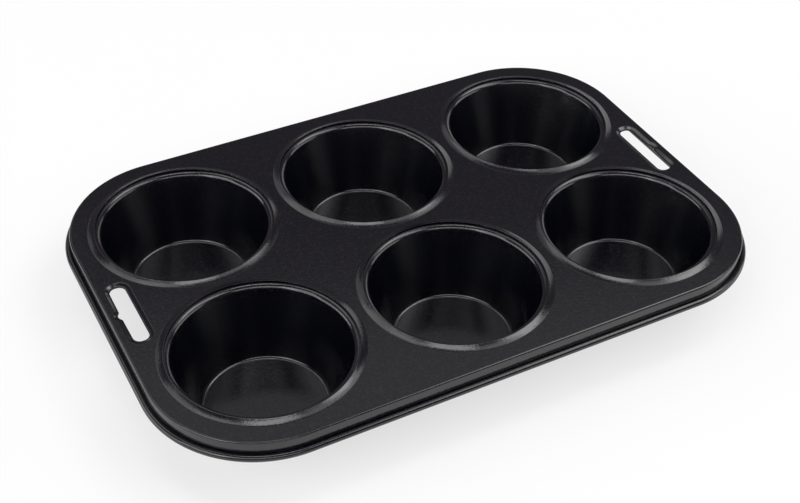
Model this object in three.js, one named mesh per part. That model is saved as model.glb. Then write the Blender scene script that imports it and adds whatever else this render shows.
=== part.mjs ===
// A six-cup muffin pan: a pressed steel plate with a wired rim, and six drawn cups crimped into it.
// Millimetres, +Z up, +X along the pan's length. The origin lies on the surface that the cups
// stand on, under the middle of the plate.

import * as THREE from "three";
import { mergeVertices } from "three/addons/utils/BufferGeometryUtils.js";

const { degToRad, radToDeg, lerp } = THREE.MathUtils;

// Driving dimensions

const sheet = 0.5; // thickness of the steel, everywhere
const clearance = 0.3; // gap left at each seam

// Cups. The two radii are those of the inner wall, at the lip's plane and at the base.
const columnNames = ["left", "middle", "right"];
const rowNames = ["front", "back"];
const mouthRadius = 35.15;
const baseRadius = 25.3;
const cupDepth = 30.7;
const baseFillet = 1.6;
const lipRadius = 2.4;
const flangeWidth = 0.6;

// Ring round each cup, folded in over the cup's flange
const lipRise = 0.2; // how far a cup's lip stands above the plate
const crimpReach = 0.55; // how far the fold reaches in over the flange
const crimpThickness = 0.5;
const ringWidth = 2.05; // from the seat of the flange to the ring's outer foot

// Flat land left between the rings, and from a ring to the skirt
const columnLand = 3.74;
const rowLand = 2.54;
const endLand = 7.12;
const sideLand = 7.32;
const cornerLand = 5.02;

// Skirt, and the curl at its foot with the wire inside
const edgeRadius = 1.5;
const wireDepth = 6.8; // from the plate's top down to the wire's middle
const wireRadius = 0.65;

// Hang slots, one at each short end. The notch is in the slot's outer edge.
const slotWidth = 6.4;
const slotLength = 33.4;
const slotEndFlat = 0.5; // straight stretch between the two corners at a slot's end
const notchRadius = 2.4;
const notchDepth = 1.2;
const slotLedge = 0.5; // flat border of the slot, pressed down below the plate's top
const slotRun = 1.4; // width of the slope from the plate's top to that border
const slotSink = 0.8;
const slotEdgeLand = 0.7; // flat left between the notch's border and the plate's round edge
const slotRingLand = 1; // least flat left between a slot's border and a ring

// Fineness of the facets
const roundSteps = 32; // round a cup
const cornerSteps = 9; // round a corner of the plate
const curlSteps = 9;
const wireSteps = 8;
const bendSteps = 3;
const notchSteps = 6;

// Derived sizes

const lipHeight = sheet + cupDepth;
const plateTop = lipHeight - lipRise;
const wallTaper = Math.atan((mouthRadius - baseRadius) / cupDepth);
const lipCentreRadius = mouthRadius + lipRadius / Math.cos(wallTaper) - lipRadius * Math.tan(wallTaper);
const flangeRadius = lipCentreRadius + flangeWidth;

const seatRadius = flangeRadius + clearance;
const ringFoot = seatRadius + ringWidth;
const ringCrest = lipRise + clearance + crimpThickness; // above the plate's top

const pitchX = 2 * ringFoot + columnLand;
const pitchY = 2 * ringFoot + rowLand;
const endCupX = (pitchX * (columnNames.length - 1)) / 2;
const endCupY = (pitchY * (rowNames.length - 1)) / 2;

// A slot's corner keeps clear of the ring beside it, so a larger slot makes the plate longer.
const slotCorner = (slotWidth - slotEndFlat) / 2;
const slotBorder = slotLedge + slotRun;
const slotEdge = edgeRadius + slotEdgeLand + slotBorder + notchDepth; // from the skirt's face
const slotCornerReach = ringFoot + slotRingLand + slotBorder + slotCorner;
const slotCornerY = slotLength / 2 - slotCorner;
const slotCornerX = endCupX + Math.sqrt(slotCornerReach ** 2 - (endCupY - slotCornerY) ** 2);
const slotEndLength = slotCornerX - slotCorner + slotWidth + slotEdge;

const halfLength = Math.max(endCupX + ringFoot + endLand, slotEndLength);
const halfWidth = endCupY + ringFoot + sideLand;
const cornerRadius = ringFoot + cornerLand;

const curlInside = wireRadius + clearance;
const curlOutside = curlInside + sheet;

const cupSpots = rowNames.flatMap((row, j) =>
  columnNames.map((column, i) => ({
    name: `cup_${row}_${column}`,
    x: (i - (columnNames.length - 1) / 2) * pitchX,
    y: (j - (rowNames.length - 1) / 2) * pitchY,
  })),
);

// Points of a circular arc, both ends included. The angles are in degrees.
function arc(centreX, centreY, radius, from, to, steps) {
  return Array.from({ length: steps + 1 }, (_, i) => {
    const angle = degToRad(lerp(from, to, i / steps));
    return new THREE.Vector2(centreX + radius * Math.cos(angle), centreY + radius * Math.sin(angle));
  });
}

// Points of a slope that leaves one height and reaches another level, both ends included
function softStep(fromX, fromY, toX, toY) {
  return Array.from({ length: bendSteps + 1 }, (_, i) => {
    const share = i / bendSteps;
    const rise = (1 - Math.cos(Math.PI * share)) / 2;
    return new THREE.Vector2(lerp(fromX, toX, share), lerp(fromY, toY, rise));
  });
}

// The other face of the sheet, below a section's points
const lowered = (points) => points.map((p) => new THREE.Vector2(p.x, p.y - sheet));

// A flat outline lifted to a height
const ring = (outline, z) => outline.map((p) => new THREE.Vector3(p.x, p.y, z));

// Triangles of the strips between rings that follow each other. Every ring has as many points.
function strips(rings) {
  const corners = [];
  for (let k = 0; k + 1 < rings.length; k++) {
    const upper = rings[k];
    const lower = rings[k + 1];
    for (let i = 0; i < upper.length; i++) {
      const j = (i + 1) % upper.length;
      corners.push(upper[i], lower[i], lower[j], upper[i], lower[j], upper[j]);
    }
  }
  return corners;
}

// A closed body from loose triangles, given as a list of their corners
function body(corners) {
  return mergeVertices(new THREE.BufferGeometry().setFromPoints(corners));
}

// Plate

// The plate's outline, seen from above and counter-clockwise, moved out from the skirt's face
function plateOutline(offset) {
  const x = halfLength - cornerRadius;
  const y = halfWidth - cornerRadius;
  const radius = cornerRadius + offset;
  return [
    ...arc(x, y, radius, 0, 90, cornerSteps),
    ...arc(-x, y, radius, 90, 180, cornerSteps),
    ...arc(-x, -y, radius, 180, 270, cornerSteps),
    ...arc(x, -y, radius, 270, 360, cornerSteps),
  ];
}

// Skirt and curl as a section: x is the distance out from the skirt's face, y the height above
// the plate's top. It runs down the outer face, round the inside of the curl to the sheet's end,
// and back round the outside of the curl and up the inner face.
function skirtSection() {
  const endAngle = 360 + radToDeg(Math.acos((clearance - curlInside) / curlOutside));
  return [
    ...arc(-edgeRadius, -edgeRadius, edgeRadius, 90, 0, bendSteps + 1),
    ...arc(curlInside, -wireDepth, curlInside, 180, endAngle, curlSteps),
    ...arc(curlInside, -wireDepth, curlOutside, endAngle, 180, curlSteps),
    ...arc(-edgeRadius, -edgeRadius, edgeRadius - sheet, 0, 90, bendSteps),
  ];
}

// Ring round a cup as a section: x is the distance from the cup's axis, y the height above the
// plate's top. It runs up the flank, over the fold, down behind the flange to the ledge under it,
// and back below the sheet.
function ringSection() {
  const foldUnder = lipRise + clearance;
  const ledgeTop = lipRise - sheet - clearance;
  const wallRadius = seatRadius + sheet;
  const wallTop = (ringCrest * (ringFoot - wallRadius)) / ringWidth - sheet;
  const noseShape = new THREE.Vector2(seatRadius - (flangeRadius - crimpReach), crimpThickness);
  const noseFoot = new THREE.Vector2(seatRadius, foldUnder);
  const nose = arc(0, 0, 1, 90, 180, bendSteps);
  return [
    new THREE.Vector2(ringFoot, 0),
    ...nose.map((p) => p.multiply(noseShape).add(noseFoot)),
    noseFoot,
    new THREE.Vector2(seatRadius, ledgeTop),
    new THREE.Vector2(lipCentreRadius, ledgeTop),
    new THREE.Vector2(lipCentreRadius, ledgeTop - sheet),
    new THREE.Vector2(wallRadius, ledgeTop - sheet),
    new THREE.Vector2(wallRadius, wallTop),
    new THREE.Vector2(ringFoot, -sheet),
  ];
}

// A circle round a cup's place, clockwise, as the edge of a hole in the plate. Its points stand at
// the same angles as those of the turned cup.
const cupCircle = (spot, radius) => arc(spot.x, spot.y, radius, -90, -450, roundSteps).slice(1);

// Outline of the slot at the right-hand end, counter-clockwise, grown by a margin
function slotOutline(margin) {
  const corner = slotCorner + margin;
  const edge = halfLength - slotEdge + margin;
  const left = edge - slotWidth - 2 * margin + corner;
  const right = edge - corner;
  const y = slotLength / 2 + margin - corner;
  const notch = notchRadius + margin;
  const notchCentre = edge + notchDepth - notch;
  const reach = radToDeg(Math.acos((edge - notchCentre) / notch));
  return [
    ...arc(right, -y, corner, 270, 360, bendSteps),
    ...arc(notchCentre, 0, notch, -reach, reach, notchSteps),
    ...arc(right, y, corner, 0, 90, bendSteps),
    ...arc(left, y, corner, 90, 180, bendSteps),
    ...arc(left, -y, corner, 180, 270, bendSteps),
  ];
}

// The slot's edge as a hole in the plate, clockwise. The left-hand slot is the right-hand one,
// turned half round.
const slotHole = (turn, margin) =>
  slotOutline(margin).map((p) => p.multiplyScalar(turn)).reverse();

// Slot's pressed border as a section: x is the margin round the slot, y the height above the
// plate's top. It runs down the slope, over the ledge and its cut edge, and back below the sheet.
function slotSection() {
  const slope = softStep(slotBorder, 0, slotLedge, -slotSink);
  const top = [...slope, new THREE.Vector2(0, -slotSink)];
  return [...top, ...lowered(top).reverse()];
}

// The plate is one sheet: a flat web, and a swept border at its edge and at each hole.
function topPlate() {
  const sweep = (section, outline) => section.map((p) => ring(outline(p.x), plateTop + p.y));
  const borders = [
    sweep(skirtSection(), plateOutline),
    ...cupSpots.map((spot) => sweep(ringSection(), (radius) => cupCircle(spot, radius))),
    ...[1, -1].map((turn) => sweep(slotSection(), (margin) => slotHole(turn, margin))),
  ];
  const edges = borders.map((rings) => rings[0]);
  const faces = THREE.ShapeUtils.triangulateShape(edges[0], edges.slice(1));
  const top = edges.flat();
  const below = top.map((p) => new THREE.Vector3(p.x, p.y, p.z - sheet));
  return body([
    ...faces.flatMap(([a, b, c]) => [top[a], top[b], top[c]]),
    ...faces.flatMap(([a, b, c]) => [below[c], below[b], below[a]]),
    ...borders.flatMap(strips),
  ]);
}

// The wire follows the plate's outline inside the curl and closes on itself.
function rimWire() {
  const section = arc(curlInside, -wireDepth, wireRadius, 0, -360, wireSteps);
  return body(strips(section.map((p) => ring(plateOutline(p.x), plateTop + p.y))));
}

// Cups

// A cup's section, from the middle of its inner base up the wall, over the lip to the flange, and
// back down the outside. x is the distance from the axis.
function cupSection() {
  const taper = radToDeg(wallTaper);
  const filletCentre = baseRadius + baseFillet * (Math.tan(wallTaper) - 1 / Math.cos(wallTaper));
  const filletHeight = sheet + baseFillet;
  const lipCentreHeight = lipHeight - lipRadius;
  return [
    new THREE.Vector2(0, sheet),
    ...arc(filletCentre, filletHeight, baseFillet, -90, -taper, bendSteps - 1),
    ...arc(lipCentreRadius, lipCentreHeight, lipRadius, 180 - taper, 90, bendSteps + 1),
    new THREE.Vector2(flangeRadius, lipHeight),
    new THREE.Vector2(flangeRadius, lipHeight - sheet),
    ...arc(lipCentreRadius, lipCentreHeight, lipRadius - sheet, 90, 180 - taper, bendSteps - 1),
    ...arc(filletCentre, filletHeight, baseFillet + sheet, -taper, -90, bendSteps - 1),
    new THREE.Vector2(0, 0),
  ];
}

const cup = new THREE.LatheGeometry(cupSection().reverse(), roundSteps).rotateX(Math.PI / 2);

// Finishes and assembly

const coating = new THREE.MeshStandardMaterial({ color: 0x242326, roughness: 0.55, metalness: 0.2 });
const bareSteel = new THREE.MeshStandardMaterial({ color: 0x9c9c9a, roughness: 0.35, metalness: 1 });

function piece(name, geometry, material) {
  const mesh = new THREE.Mesh(geometry, material);
  mesh.name = name;
  return mesh;
}

const pan = new THREE.Group();
pan.add(piece("top_plate", topPlate(), coating));
pan.add(piece("rim_wire", rimWire(), bareSteel));
for (const spot of cupSpots) {
  const mesh = piece(spot.name, cup, coating);
  mesh.position.set(spot.x, spot.y, 0);
  pan.add(mesh);
}

export default pan;
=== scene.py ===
"""Looks of a six-cup muffin pan: a pressed plate with a rolled rim, and six cups crimped into it.

Every piece is in metres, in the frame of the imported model: +X along the pan, +Z up, cups on z = 0.
"""

import math

import bmesh
import bpy
from mathutils import Matrix, Vector


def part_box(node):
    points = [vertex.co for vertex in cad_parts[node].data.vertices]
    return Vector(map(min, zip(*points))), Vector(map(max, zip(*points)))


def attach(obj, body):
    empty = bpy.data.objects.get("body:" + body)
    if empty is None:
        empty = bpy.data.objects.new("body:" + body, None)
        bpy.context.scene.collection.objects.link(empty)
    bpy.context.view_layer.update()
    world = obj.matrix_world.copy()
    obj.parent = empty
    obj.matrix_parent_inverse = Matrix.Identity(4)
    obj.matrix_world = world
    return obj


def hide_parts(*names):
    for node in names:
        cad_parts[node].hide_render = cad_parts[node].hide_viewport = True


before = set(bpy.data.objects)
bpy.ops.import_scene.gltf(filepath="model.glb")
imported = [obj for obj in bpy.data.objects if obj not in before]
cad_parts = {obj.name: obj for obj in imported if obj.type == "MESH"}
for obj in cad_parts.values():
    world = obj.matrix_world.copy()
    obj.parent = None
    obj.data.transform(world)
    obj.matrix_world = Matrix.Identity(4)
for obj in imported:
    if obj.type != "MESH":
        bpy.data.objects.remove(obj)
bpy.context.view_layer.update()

MM = 0.001

# Sheet and cups
SHEET = 0.5 * MM
MOUTH_RADIUS = 35.15 * MM  # of the inner wall, at the lip's plane
BASE_RADIUS = 25.3 * MM  # of the inner wall, at the base
BASE_FILLET = 1.6 * MM
LIP_RADIUS = 2.4 * MM

# Ring round each cup, folded in over the cup's flange
LIP_RISE = 0.2 * MM  # how far a lip stands above the plate's top
SEAM_GAP = 0.3 * MM
FOLD_REACH = 0.55 * MM
RING_WIDTH = 2.05 * MM
HOLLOW_WIDTH = 1.35 * MM  # from the ring's foot to the middle of its hollow flank
HOLLOW_RISE = 0.41 * MM
CREST_INSET = 0.2 * MM  # from the fold's end to the ring's crest
FOOT_BEND = 0.25 * MM  # how far a rounded corner reaches to both sides
FLANK_BEND = 0.9 * MM
CREST_BEND = 0.2 * MM
FOLD_BEND = 0.18 * MM
RING_WAVE = 0.06 * MM  # unevenness that the crimping leaves in a ring's height
RING_WAVES = 75  # to a metre

# Skirt, and the curl at its foot
EDGE_RADIUS = 0.9 * MM
CURL_DEPTH = 6.8 * MM  # from the plate's top down to the curl's middle
CURL_INSIDE = 0.95 * MM
CURL_OUTSIDE = CURL_INSIDE + SHEET
CURL_GAP = 0.1 * MM  # between the curl's end and the skirt's face
CORNER_LAND = 5.02 * MM  # a plate corner's radius is that of a ring's foot and this

# Hang slots
SLOT_WIDTH = 6.4 * MM
SLOT_LENGTH = 33.4 * MM
SLOT_CORNER = 2.95 * MM
SLOT_LEDGE = 0.5 * MM
SLOT_RUN = 1.4 * MM  # of the pressed slope, seen from above
SLOT_SINK = 0.8 * MM  # how far the ledge lies below the web
SLOT_BEND = 0.25 * MM
SLOT_CUT_BEND = 0.12 * MM
SLOT_EDGE = 5.3 * MM  # from the skirt's face to the slot
NOTCH_DEPTH = 1.2 * MM
NOTCH_RADIUS = 2.4 * MM

# Fineness of the meshes
FLAT_RUN = 0.05 * MM  # level stretch at the start of each pressed border
MERGE = 0.001 * MM
TURN_STEPS = 160  # round a cup
CORNER_STEPS = 40  # round a corner of the plate
BEND_STEPS = 10
CURL_STEPS = 28
SHARP_ANGLE = math.radians(38)  # edges that bend more than this aren't shaded smooth

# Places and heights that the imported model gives
CUP_NAMES = sorted(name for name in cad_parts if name.startswith("cup_"))
PLATE_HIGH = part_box("top_plate")[1]
LIP_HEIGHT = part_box(CUP_NAMES[0])[1].z
PLATE_TOP = LIP_HEIGHT - LIP_RISE
RING_CREST = PLATE_HIGH.z - PLATE_TOP
HALF_LENGTH = PLATE_HIGH.x - CURL_INSIDE - CURL_OUTSIDE
HALF_WIDTH = PLATE_HIGH.y - CURL_INSIDE - CURL_OUTSIDE

# What follows from those
WALL_TAPER = math.atan((MOUTH_RADIUS - BASE_RADIUS) / (LIP_HEIGHT - SHEET))
LIP_CENTRE = MOUTH_RADIUS + LIP_RADIUS * (1 / math.cos(WALL_TAPER) - math.tan(WALL_TAPER))
FLANGE_RADIUS = (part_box(CUP_NAMES[0])[1].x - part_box(CUP_NAMES[0])[0].x) / 2
SEAT_RADIUS = FLANGE_RADIUS + SEAM_GAP
RING_FOOT = SEAT_RADIUS + RING_WIDTH
RING_EDGE = RING_FOOT + FOOT_BEND + FLAT_RUN
SLOT_BORDER = SLOT_LEDGE + SLOT_RUN
SLOT_MARGIN = SLOT_BORDER + SLOT_BEND + FLAT_RUN


def spot_of(name):
    """Middle of a cup, on the surface that the pan stands on."""
    low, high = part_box(name)
    return Vector(((low.x + high.x) / 2, (low.y + high.y) / 2, 0))


# Outlines and sections, as lists of points in a plane


def arc(centre_x, centre_y, radius, start, end, steps):
    """Points of a circular arc, both ends included. The angles are in degrees."""
    angles = [math.radians(start + (end - start) * i / steps) for i in range(steps + 1)]
    return [(centre_x + radius * math.cos(a), centre_y + radius * math.sin(a)) for a in angles]


def rounded(corners, steps):
    """Points of a line through (x, y, bend) corners. Each bend reaches that far to both sides."""
    points = [corners[0][:2]]
    for before, corner, after in zip(corners, corners[1:], corners[2:]):
        middle = Vector(corner[:2])
        start = middle + (Vector(before[:2]) - middle).normalized() * corner[2]
        end = middle + (Vector(after[:2]) - middle).normalized() * corner[2]
        for i in range(steps + 1):
            share = i / steps
            point = start.lerp(middle, share).lerp(middle.lerp(end, share), share)
            points.append(tuple(point))
    return [*points, corners[-1][:2]]


def shifted(points, by):
    return [(x + by, y) for x, y in points]


def web_outline():
    """Edge of the plate's flat web, where the skirt's border starts, counter-clockwise."""
    inset = EDGE_RADIUS + FLAT_RUN
    corner = RING_FOOT + CORNER_LAND
    x = HALF_LENGTH - corner
    y = HALF_WIDTH - corner
    places = ((x, y, 0), (-x, y, 90), (-x, -y, 180), (x, -y, 270))
    return [
        point
        for centre_x, centre_y, turn in places
        for point in arc(centre_x, centre_y, corner - inset, turn, turn + 90, CORNER_STEPS)
    ]


def skirt_section():
    """From the web's edge over the round edge, down the skirt, round the curl and back inside."""
    face = FLAT_RUN + EDGE_RADIUS
    middle = face + CURL_INSIDE
    end = 360 + math.degrees(math.acos((CURL_GAP - CURL_INSIDE) / CURL_OUTSIDE))
    return [
        (0, 0),
        *arc(FLAT_RUN, -EDGE_RADIUS, EDGE_RADIUS, 90, 0, BEND_STEPS),
        *arc(middle, -CURL_DEPTH, CURL_INSIDE, 180, end, CURL_STEPS),
        *arc(middle, -CURL_DEPTH, CURL_OUTSIDE, end, 180, CURL_STEPS),
        *arc(FLAT_RUN, -EDGE_RADIUS, EDGE_RADIUS - SHEET, 0, 90, BEND_STEPS),
        (0, -SHEET),
    ]


def ring_section():
    """From the web up the ring's flank, over the fold to the seam, and back below the sheet.

    The points are given by their distance from the cup's axis, then moved to the ring's outline.
    """
    fold_end = FLANGE_RADIUS - FOLD_REACH
    fold_under = LIP_RISE + SEAM_GAP
    ledge = LIP_RISE - SHEET - SEAM_GAP
    crest_radius = fold_end + CREST_INSET
    wall_radius = SEAT_RADIUS + SHEET
    wall_top = RING_CREST * (RING_FOOT - wall_radius) / (RING_FOOT - crest_radius) - SHEET
    top = [
        (RING_EDGE, 0, 0),
        (RING_FOOT, 0, FOOT_BEND),
        (RING_FOOT - HOLLOW_WIDTH, HOLLOW_RISE, FLANK_BEND),
        (crest_radius, RING_CREST, CREST_BEND),
        (fold_end, RING_CREST, FOLD_BEND),
        (fold_end, fold_under, 0),
    ]
    points = [
        *rounded(top, BEND_STEPS),
        (SEAT_RADIUS, fold_under),
        (SEAT_RADIUS, ledge),
        (LIP_CENTRE, ledge),
        (LIP_CENTRE, ledge - SHEET),
        (wall_radius, ledge - SHEET),
        (wall_radius, wall_top),
        (RING_FOOT, -SHEET),
        (RING_EDGE, -SHEET),
    ]
    return shifted(points, -RING_EDGE)


def slot_outline():
    """Outer edge of the right-hand slot's pressed border, counter-clockwise, with its notch."""
    right = HALF_LENGTH - SLOT_EDGE + SLOT_MARGIN
    left = right - SLOT_WIDTH - 2 * SLOT_MARGIN
    end = SLOT_LENGTH / 2 + SLOT_MARGIN
    corner = SLOT_CORNER + SLOT_MARGIN
    notch = NOTCH_RADIUS + SLOT_MARGIN
    notch_centre = right + NOTCH_DEPTH - notch
    reach = math.degrees(math.acos((right - notch_centre) / notch))
    return [
        *arc(right - corner, corner - end, corner, 270, 360, BEND_STEPS),
        *arc(notch_centre, 0, notch, -reach, reach, 2 * BEND_STEPS),
        *arc(right - corner, end - corner, corner, 0, 90, BEND_STEPS),
        *arc(left + corner, end - corner, corner, 90, 180, BEND_STEPS),
        *arc(left + corner, corner - end, corner, 180, 270, BEND_STEPS),
    ]


def slot_section():
    """From the web down the pressed slope to the ledge, over its cut edge and back below."""
    top = [
        (SLOT_MARGIN, 0, 0),
        (SLOT_BORDER, 0, SLOT_BEND),
        (SLOT_LEDGE, -SLOT_SINK, SLOT_BEND),
        (0, -SLOT_SINK, SLOT_CUT_BEND),
        (0, -SLOT_SINK - SHEET, 0),
    ]
    points = [
        *rounded(top, BEND_STEPS),
        (SLOT_LEDGE, -SLOT_SINK - SHEET),
        (SLOT_BORDER, -SHEET),
        (SLOT_MARGIN, -SHEET),
    ]
    return shifted(points, -SLOT_MARGIN)


def cup_section():
    """From the middle of the inner base up the wall, over the lip and back down outside."""
    taper = math.degrees(WALL_TAPER)
    fillet_x = BASE_RADIUS + BASE_FILLET * (math.tan(WALL_TAPER) - 1 / math.cos(WALL_TAPER))
    fillet_y = SHEET + BASE_FILLET
    lip_y = LIP_HEIGHT - LIP_RADIUS
    return [
        (0, SHEET),
        (fillet_x - FLAT_RUN, SHEET),
        *arc(fillet_x, fillet_y, BASE_FILLET, -90, -taper, BEND_STEPS),
        *arc(LIP_CENTRE, lip_y, LIP_RADIUS, 180 - taper, 90, 2 * BEND_STEPS),
        (FLANGE_RADIUS, LIP_HEIGHT),
        (FLANGE_RADIUS, LIP_HEIGHT - SHEET),
        *arc(LIP_CENTRE, lip_y, LIP_RADIUS - SHEET, 90, 180 - taper, BEND_STEPS),
        *arc(fillet_x, fillet_y, BASE_FILLET + SHEET, -taper, -90, BEND_STEPS),
        (fillet_x - FLAT_RUN, 0),
        (0, 0),
    ]


# Node trees
NOISE_RANGE = (0.3, 0.7)  # nearly all values of a noise lie in it


def new_tree(name, inputs):
    """A Geometry Nodes tree with the named inputs, and its input and output nodes."""
    tree = bpy.data.node_groups.new(name, "GeometryNodeTree")
    tree.is_modifier = True
    for label, kind in inputs:
        tree.interface.new_socket(label, in_out="INPUT", socket_type="NodeSocket" + kind)
    tree.interface.new_socket("Mesh", in_out="OUTPUT", socket_type="NodeSocketGeometry")
    return tree, tree.nodes.new("NodeGroupInput").outputs, tree.nodes.new("NodeGroupOutput")


def step(tree, kind, values, **settings):
    """A new node whose inputs are linked to sockets or set to plain values."""
    node = tree.nodes.new(kind)
    for key, value in settings.items():
        setattr(node, key, value)
    for label, value in values.items():
        for one in value if isinstance(value, list) else [value]:
            if isinstance(one, bpy.types.NodeSocket):
                tree.links.new(one, node.inputs[label])
            else:
                node.inputs[label].default_value = one
    return node


def geometry(tree, kind, values, **settings):
    """The first output of a new Geometry Nodes node."""
    return step(tree, "GeometryNode" + kind, values, **settings).outputs[0]


def combined(tree, operation, first, second):
    """Two numbers put together by a Math node."""
    return step(tree, "ShaderNodeMath", {0: first, 1: second}, operation=operation).outputs[0]


def times(tree, first, second):
    return combined(tree, "MULTIPLY", first, second)


def noise(tree, place, scale):
    values = {"Vector": place, "Scale": scale}
    return step(tree, "ShaderNodeTexNoise", values).outputs["Fac"]


def spread(tree, value, low, high, new_low, new_high):
    """A value carried from one range to another, and held at that one's ends."""
    names = ("From Min", "From Max", "To Min", "To Max")
    limits = dict(zip(names, (low, high, new_low, new_high)))
    return step(tree, "ShaderNodeMapRange", {"Value": value, **limits}).outputs["Result"]


def height_of(tree, place):
    return step(tree, "ShaderNodeSeparateXYZ", {"Vector": place}).outputs["Z"]


def object_geometry(tree, socket):
    info = step(tree, "GeometryNodeObjectInfo", {"Object": socket})
    return info.outputs["Geometry"]


def swept(tree, path, section):
    """A section, given outwards and upwards, carried along a level path."""
    upright = geometry(tree, "Transform", {"Geometry": section, "Scale": (1, -1, 1)})
    return geometry(tree, "CurveToMesh", {"Curve": path, "Profile Curve": upright})


def waved(tree, mesh, crest, wave):
    """Lifts and lowers a mesh unevenly: not at all at height 0, and most at its crest."""
    place = geometry(tree, "InputPosition", {})
    share = spread(tree, height_of(tree, place), 0, crest, 0, 1)
    swing = spread(tree, noise(tree, place, RING_WAVES), *NOISE_RANGE, -1, 1)
    lift = times(tree, times(tree, share, swing), wave)
    offset = step(tree, "ShaderNodeCombineXYZ", {"Z": lift}).outputs["Vector"]
    return geometry(tree, "SetPosition", {"Geometry": mesh, "Offset": offset})


def close_tree(tree, parts, spot, material, output):
    """Joins the parts, moves them to their spot and gives them their finish."""
    joined = geometry(tree, "JoinGeometry", {"Geometry": parts})
    merged = geometry(tree, "MergeByDistance", {"Geometry": joined, "Distance": MERGE})
    placed = geometry(tree, "Transform", {"Geometry": merged, "Translation": spot})
    real = geometry(tree, "RealizeInstances", {"Geometry": placed})
    finished = geometry(tree, "SetMaterial", {"Geometry": real, "Material": material})
    tree.links.new(finished, output.inputs["Mesh"])


def cup_tree():
    """A section turned round an upright axis."""
    tree, given, output = new_tree(
        "turned cup",
        [
            ("Section", "Object"),
            ("Turn Radius", "Float"),
            ("Turn Steps", "Int"),
            ("Spot", "Vector"),
            ("Coating", "Material"),
        ],
    )
    path = geometry(
        tree,
        "CurvePrimitiveCircle",
        {"Radius": given["Turn Radius"], "Resolution": given["Turn Steps"]},
    )
    section = object_geometry(tree, given["Section"])
    close_tree(tree, [swept(tree, path, section)], given["Spot"], given["Coating"], output)
    return tree


def plate_tree():
    """A flat web with a pressed border swept round its edge, its cup holes and its slots."""
    tree, given, output = new_tree(
        "pressed plate",
        [
            ("Web Outline", "Object"),
            ("Skirt Section", "Object"),
            ("Cup Spots", "Object"),
            ("Ring Radius", "Float"),
            ("Ring Steps", "Int"),
            ("Ring Section", "Object"),
            ("Ring Crest", "Float"),
            ("Ring Wave", "Float"),
            ("Slot Outline", "Object"),
            ("Slot Section", "Object"),
            ("Sheet Drop", "Vector"),
            ("Spot", "Vector"),
            ("Coating", "Material"),
        ],
    )
    outline = object_geometry(tree, given["Web Outline"])
    circle = geometry(
        tree,
        "CurvePrimitiveCircle",
        {"Radius": given["Ring Radius"], "Resolution": given["Ring Steps"]},
    )
    spots = object_geometry(tree, given["Cup Spots"])
    circles = geometry(tree, "InstanceOnPoints", {"Points": spots, "Instance": circle})
    rings = geometry(tree, "RealizeInstances", {"Geometry": circles})
    slot = object_geometry(tree, given["Slot Outline"])
    other_slot = geometry(tree, "Transform", {"Geometry": slot, "Rotation": (0, 0, math.pi)})
    slots = geometry(tree, "JoinGeometry", {"Geometry": [slot, other_slot]})
    edges = geometry(tree, "JoinGeometry", {"Geometry": [outline, rings, slots]})
    web = geometry(tree, "FillCurve", {"Curve": edges})
    below = geometry(tree, "Transform", {"Geometry": web, "Translation": given["Sheet Drop"]})
    pressed_rings = swept(tree, rings, object_geometry(tree, given["Ring Section"]))
    parts = [
        web,
        geometry(tree, "FlipFaces", {"Mesh": below}),
        swept(tree, outline, object_geometry(tree, given["Skirt Section"])),
        waved(tree, pressed_rings, given["Ring Crest"], given["Ring Wave"]),
        swept(tree, slots, object_geometry(tree, given["Slot Section"])),
    ]
    close_tree(tree, parts, given["Spot"], given["Coating"], output)
    return tree


# Making a piece from a tree


def drawn_curve(name, points, closed):
    """A curve object through points of a plane, which only feeds a tree."""
    curve = bpy.data.curves.new(name, "CURVE")
    curve.dimensions = "3D"
    spline = curve.splines.new("POLY")
    spline.points.add(len(points) - 1)
    for point, (x, y) in zip(spline.points, points):
        point.co = (x, y, 0, 1)
    spline.use_cyclic_u = closed
    return linked(bpy.data.objects.new(name, curve))


def spot_points(name, spots):
    mesh = bpy.data.meshes.new(name)
    mesh.from_pydata(spots, [], [])
    return linked(bpy.data.objects.new(name, mesh))


def linked(obj):
    bpy.context.scene.collection.objects.link(obj)
    return obj


def made_piece(name, tree, values):
    """The tree's result as a plain mesh object at the origin, closed and facing outwards."""
    maker = linked(bpy.data.objects.new(name + "_maker", bpy.data.meshes.new(name + "_maker")))
    modifier = maker.modifiers.new(tree.name, "NODES")
    modifier.node_group = tree
    for item in tree.interface.items_tree:
        if item.in_out == "INPUT":
            modifier[item.identifier] = values[item.name]
    evaluated = maker.evaluated_get(bpy.context.evaluated_depsgraph_get())
    mesh = bpy.data.meshes.new_from_object(evaluated)
    mesh.name = name
    bpy.data.objects.remove(maker)
    shape = bmesh.new()
    shape.from_mesh(mesh)
    bmesh.ops.remove_doubles(shape, verts=shape.verts, dist=MERGE)
    bmesh.ops.recalc_face_normals(shape, faces=shape.faces)
    for face in shape.faces:
        face.smooth = True
    for edge in shape.edges:
        edge.smooth = edge.calc_face_angle(0) < SHARP_ANGLE
    shape.to_mesh(mesh)
    shape.free()
    return linked(bpy.data.objects.new(name, mesh))


# Coating of the plate and the cups
PEEL_SCALE = 700  # waves to a metre, as for the grain and the flecks
PEEL_DEPTH = 0.006 * MM
GRAIN_SCALE = 1300
GRAIN_DEPTH = 0.030 * MM
FLECK_SCALE = 1150
FLECK_RANGE = (0.54, 0.72)  # of the noise, from no fleck to a full one
COATING_COLOUR = (0.0006, 0.0009, 0.0027)
FLECK_COLOUR = (0.0165, 0.0102, 0.0175)
COATING_ROUGHNESS = (0.13, 0.17)
COATING_GLOSS = 0.75

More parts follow.
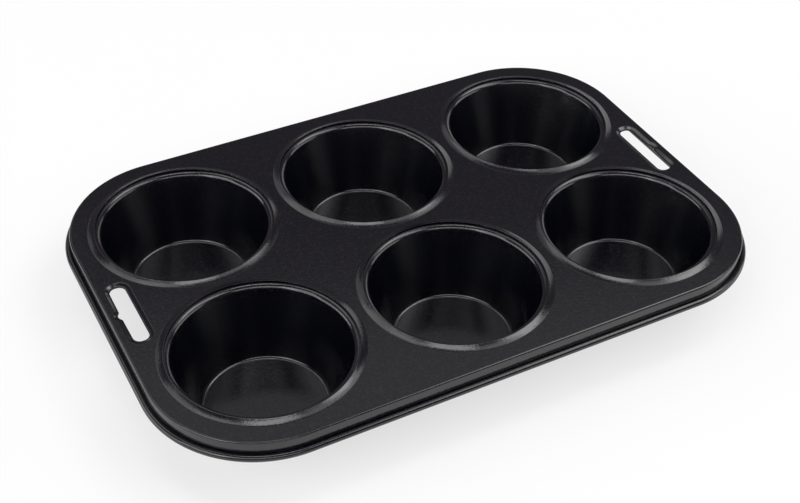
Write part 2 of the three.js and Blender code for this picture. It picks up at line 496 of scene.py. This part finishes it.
# On a cup, the base and the wall are more matt, and the wall has no flecks, so that it is darker
# than the base and the lip: painted shade on the wall inside the cup
BASE_HIGH = SHEET + 0.12 * MM  # just above the inner base
BASE_FADE = 0.1 * MM
BASE_MATT = 0.04  # added to the roughness
WALL_LOW = SHEET + BASE_FILLET + 0.1 * MM  # just above the round corner at the base
WALL_HIGH = LIP_HEIGHT - LIP_RADIUS - 0.2 * MM  # just below the round lip
WALL_FADE = 2.0 * MM
WALL_MATT = 0.05  # added to the roughness

# Steel of the wire in the rim
MOTTLE_SCALE = 900  # waves to a metre
WIRE_DARK = (0.30, 0.30, 0.29)
WIRE_LIGHT = (0.52, 0.52, 0.51)
WIRE_ROUGHNESS = (0.25, 0.4)


def new_material(name):
    """A material with its tree, its Object coordinates and its shader."""
    material = bpy.data.materials.new(name)
    material.use_nodes = True
    tree = material.node_tree
    place = step(tree, "ShaderNodeTexCoord", {}).outputs["Object"]
    return material, tree, place, tree.nodes["Principled BSDF"]


def colour_between(tree, share, dark, light, shader):
    """Gives the shader a colour that goes from dark, where the share is 0, to light."""
    ramp = step(tree, "ShaderNodeValToRGB", {"Fac": share})
    for end, colour in zip(ramp.color_ramp.elements, (dark, light)):
        end.color = (*colour, 1)
    tree.links.new(ramp.outputs["Color"], shader.inputs["Base Color"])


def wall_matt_and_shade_share(tree, height):
    """1 on a cup's wall and 0 at its base and lip. It makes the wall more matt, and it takes the
    flecks off the wall as painted shade.
    """
    above = spread(tree, height, WALL_LOW, WALL_LOW + WALL_FADE, 0, 1)
    below = spread(tree, height, WALL_HIGH, WALL_HIGH - WALL_FADE, 0, 1)
    return times(tree, above, below)


def coating_finish(name, in_cup):
    """Satin black coating with fine flecks: a grain over a soft orange peel. In a cup, the wall
    keeps no flecks: painted shade.
    """
    material, tree, place, shader = new_material(name)
    grain = noise(tree, place, GRAIN_SCALE)
    peel = noise(tree, place, PEEL_SCALE)
    flecks = spread(tree, noise(tree, place, FLECK_SCALE), *FLECK_RANGE, 0, 1)
    rough = spread(tree, peel, *NOISE_RANGE, *COATING_ROUGHNESS)
    if in_cup:
        height = height_of(tree, place)
        wall = wall_matt_and_shade_share(tree, height)
        # painted shade: the wall keeps no flecks, so it is darker than the base and the lip
        flecks = times(tree, flecks, spread(tree, wall, 0, 1, 1, 0))
        base_matt = spread(tree, height, BASE_HIGH, BASE_HIGH - BASE_FADE, 0, BASE_MATT)
        for matt in (times(tree, wall, WALL_MATT), base_matt):
            rough = combined(tree, "ADD", rough, matt)
    colour_between(tree, flecks, COATING_COLOUR, FLECK_COLOUR, shader)
    tree.links.new(rough, shader.inputs["Roughness"])
    shader.inputs["Specular IOR Level"].default_value = COATING_GLOSS
    bump = None
    for relief, depth in ((peel, PEEL_DEPTH), (grain, GRAIN_DEPTH)):
        values = {"Height": relief, "Distance": depth, "Strength": 1.0}
        if bump:
            values["Normal"] = bump
        bump = step(tree, "ShaderNodeBump", values).outputs["Normal"]
    tree.links.new(bump, shader.inputs["Normal"])
    return material


def wire_finish():
    """Drawn steel wire, a little mottled."""
    material, tree, place, shader = new_material("drawn steel wire")
    mottle = noise(tree, place, MOTTLE_SCALE)
    colour_between(tree, mottle, WIRE_DARK, WIRE_LIGHT, shader)
    shader.inputs["Metallic"].default_value = 1.0
    rough = spread(tree, mottle, *NOISE_RANGE, *WIRE_ROUGHNESS)
    tree.links.new(rough, shader.inputs["Roughness"])
    return material


# Camera, as the photograph was taken
LENS = 60.344  # millimetres, as for the sensor
SENSOR_WIDTH = 36.0
VIEW_AZIMUTH = math.radians(-28.463)
VIEW_ELEVATION = math.radians(40.259)
VIEW_ROLL = math.radians(1.265)
VIEW_DISTANCE = 549.161 * MM
VIEW_TARGET = Vector((-11.138 * MM, -14.703 * MM, PLATE_TOP))


def photo_camera():
    """The camera that sees the pan as the photograph does."""
    back = Vector(
        (
            math.sin(VIEW_AZIMUTH) * math.cos(VIEW_ELEVATION),
            -math.cos(VIEW_AZIMUTH) * math.cos(VIEW_ELEVATION),
            math.sin(VIEW_ELEVATION),
        )
    )
    right = (-back).cross(Vector((0, 0, 1))).normalized()
    up = back.cross(right)
    turn = Matrix((right, up, back)).transposed() @ Matrix.Rotation(VIEW_ROLL, 3, "Z")
    data = bpy.data.cameras.new("photo_camera")
    data.sensor_fit = "HORIZONTAL"
    data.sensor_width = SENSOR_WIDTH
    data.lens = LENS
    camera = linked(bpy.data.objects.new("photo_camera", data))
    camera.matrix_world = Matrix.Translation(VIEW_TARGET + back * VIEW_DISTANCE) @ turn.to_4x4()
    bpy.context.scene.camera = camera


# Floor and light
FLOOR_HALF_SIZE = 4.0
FLOOR_DROP = 0.05 * MM  # keeps the floor clear of the cups' undersides
FLOOR_COLOUR = 0.35
FLOOR_GLOW = 0.64  # what brings the lit floor up to white where it is seen


def seen_rays(tree):
    """1 for camera, glossy and transmission rays, and 0 for all others."""
    path = step(tree, "ShaderNodeLightPath", {})
    kinds = ("Is Camera Ray", "Is Glossy Ray", "Is Transmission Ray")
    total = path.outputs[kinds[0]]
    for kind in kinds[1:]:
        total = combined(tree, "MAXIMUM", total, path.outputs[kind])
    return total


def pale_floor():
    """A wide floor that is white where it is seen and keeps the pan's shadow."""
    size = FLOOR_HALF_SIZE
    mesh = bpy.data.meshes.new("floor")
    mesh.from_pydata(
        [(x * size, y * size, -FLOOR_DROP) for x, y in ((-1, -1), (1, -1), (1, 1), (-1, 1))],
        [],
        [(0, 1, 2, 3)],
    )
    floor = linked(bpy.data.objects.new("floor", mesh))
    material = bpy.data.materials.new("pale floor")
    material.use_nodes = True
    tree = material.node_tree
    tree.nodes.clear()
    tone = (FLOOR_COLOUR, FLOOR_COLOUR, FLOOR_COLOUR, 1)
    matt = step(tree, "ShaderNodeBsdfDiffuse", {"Color": tone})
    strength = times(tree, seen_rays(tree), FLOOR_GLOW)
    glow = step(tree, "ShaderNodeEmission", {"Strength": strength})
    both = step(tree, "ShaderNodeAddShader", {0: matt.outputs[0], 1: glow.outputs[0]})
    step(tree, "ShaderNodeOutputMaterial", {"Surface": both.outputs[0]})
    mesh.materials.append(material)


# Softboxes: azimuth from +X towards +Y, height above the floor, width and depth as the pan sees
# them, all in degrees, and brightness
SOFTBOX_DISTANCE = 3.0
WATTS_PER_AREA = 4.0  # of an area lamp with brightness 1, for each square metre
SOFTBOXES = {
    "overhead": (62, 88, 20, 13, 2.8),
    "overhead_left": (120, 69, 14, 14, 1.4),
    "overhead_right": (3, 69, 14, 14, 0.9),
    "left": (156, 16, 50, 26, 1.6),
    "front_left": (196, 35, 36, 40, 1.7),
    "front": (241, 38, 60, 18, 1.85),
    "right_high": (331, 53, 50, 24, 2.0),
    "right_low": (338, 16, 46, 26, 1.2),
    "back_right_low": (32, 15, 32, 20, 0.65),
    "back_right_high": (10, 54, 24, 18, 1.25),
    "back": (72, 53, 50, 18, 0.25),
    "back_left_high": (113, 54, 24, 18, 0.9),
    "back_left_strip": (98, 36, 20, 14, 0.4),
}
ROOM_LEVEL = 0.14
ROOM_COLOUR = (1.0, 0.93, 1.0)


def softbox(name, azimuth, height, width, depth, level):
    """A plain rectangular lamp that faces the pan and that no camera sees."""
    turn = math.radians(azimuth)
    rise = math.radians(height)
    outward = Vector(
        (math.cos(turn) * math.cos(rise), math.sin(turn) * math.cos(rise), math.sin(rise))
    )
    data = bpy.data.lights.new(name, "AREA")
    data.shape = "RECTANGLE"
    data.size = 2 * SOFTBOX_DISTANCE * math.tan(math.radians(width / 2))
    data.size_y = 2 * SOFTBOX_DISTANCE * math.tan(math.radians(depth / 2))
    data.energy = WATTS_PER_AREA * data.size * data.size_y * level
    lamp = linked(bpy.data.objects.new(name, data))
    lamp.visible_camera = False
    facing = (-outward).to_track_quat("-Z", "Y").to_matrix().to_4x4()
    lamp.matrix_world = Matrix.Translation(outward * SOFTBOX_DISTANCE) @ facing


def dim_room():
    """The faint light that the studio's walls give back."""
    world = bpy.data.worlds.new("studio")
    bpy.context.scene.world = world
    world.use_nodes = True
    background = world.node_tree.nodes["Background"]
    background.inputs["Color"].default_value = (*ROOM_COLOUR, 1)
    background.inputs["Strength"].default_value = ROOM_LEVEL


# Building the pan

photo_camera()
plate_coating = coating_finish("plate coating", in_cup=False)
cup_coating = coating_finish("cup coating", in_cup=True)
wire_steel = wire_finish()

cup_outline = drawn_curve("cup_section", shifted(cup_section(), -MOUTH_RADIUS), closed=False)
turned = cup_tree()
for cup_name in CUP_NAMES:
    cup = made_piece(
        cup_name + "_coated",
        turned,
        {
            "Section": cup_outline,
            "Turn Radius": MOUTH_RADIUS,
            "Turn Steps": TURN_STEPS,
            "Spot": spot_of(cup_name),
            "Coating": cup_coating,
        },
    )
    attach(cup, "root")
    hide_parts(cup_name)

plate_inputs = {
    "Web Outline": drawn_curve("web_outline", web_outline(), closed=True),
    "Skirt Section": drawn_curve("skirt_section", skirt_section(), closed=False),
    "Cup Spots": spot_points("cup_spots", [spot_of(name) for name in CUP_NAMES]),
    "Ring Radius": RING_EDGE,
    "Ring Steps": TURN_STEPS,
    "Ring Section": drawn_curve("ring_section", ring_section(), closed=False),
    "Ring Crest": RING_CREST,
    "Ring Wave": RING_WAVE,
    "Slot Outline": drawn_curve("slot_outline", slot_outline(), closed=True),
    "Slot Section": drawn_curve("slot_section", slot_section(), closed=False),
    "Sheet Drop": Vector((0, 0, -SHEET)),
    "Spot": Vector((0, 0, PLATE_TOP)),
    "Coating": plate_coating,
}
plate = made_piece("top_plate_coated", plate_tree(), plate_inputs)
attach(plate, "root")
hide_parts("top_plate")

helpers = [value for value in plate_inputs.values() if isinstance(value, bpy.types.Object)]
for helper in (cup_outline, *helpers):
    bpy.data.objects.remove(helper)

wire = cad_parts["rim_wire"]
wire.data.materials.clear()
wire.data.materials.append(wire_steel)

pale_floor()
dim_room()
for softbox_name, setting in SOFTBOXES.items():
    softbox(softbox_name, *setting)
bpy.context.scene.view_settings.view_transform = "Standard"
